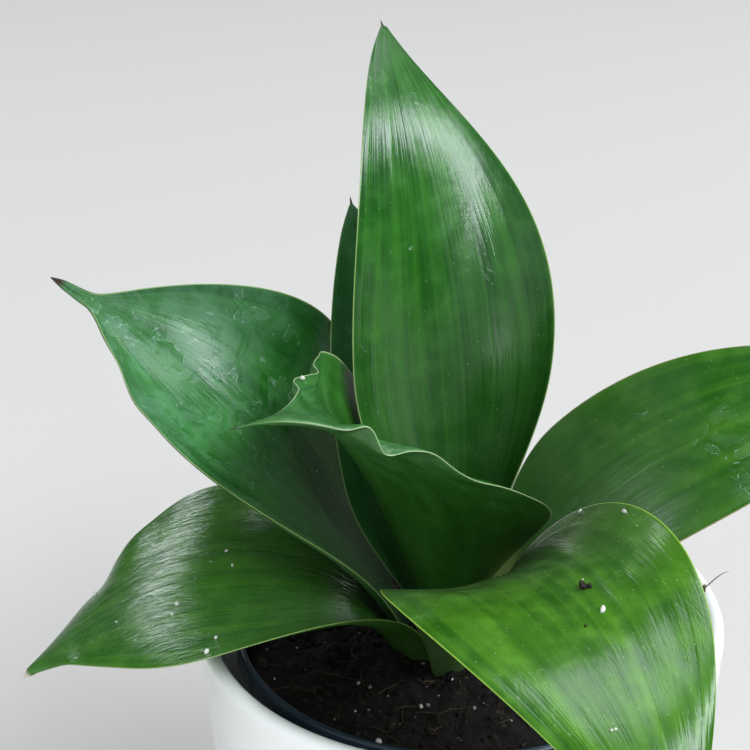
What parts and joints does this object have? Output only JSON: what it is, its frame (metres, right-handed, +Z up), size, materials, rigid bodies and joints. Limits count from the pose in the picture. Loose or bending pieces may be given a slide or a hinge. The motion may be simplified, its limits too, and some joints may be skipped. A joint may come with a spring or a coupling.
{
  "type": "potted snake plant",
  "caption": "Low rosette of broad glossy pointed leaves in a dark plastic nursery pot, standing in a round white cover pot.",
  "frame": {"origin": "middle of the cover pot's flat underside", "axes": "+Z up along the pots' common axis, -Y towards the side the front leaf droops over"},
  "size_m": [0.2374, 0.2079, 0.2606],
  "materials": {
    "cover_glaze": "smooth white gloss glaze",
    "nursery_plastic": "satin blue-black moulded plastic",
    "potting_soil": "moist crumbly potting mix with bark fibre and pale perlite grains",
    "crown_tissue": "dull yellow-green plant tissue",
    "leaf_green": "waxy gloss dark green with fine lengthwise streaks and thin pale margins"
  },
  "bodies": {
    "root": {"cover_pot": "cover_glaze", "nursery_pot": "nursery_plastic", "soil": "potting_soil", "crown": "crown_tissue", "leaf_tall": "leaf_green", "leaf_folded": "leaf_green", "leaf_back": "leaf_green", "leaf_right": "leaf_green", "leaf_upper_left": "leaf_green", "leaf_lower_left": "leaf_green", "leaf_front": "leaf_green"}
  },
  "joints": []
}
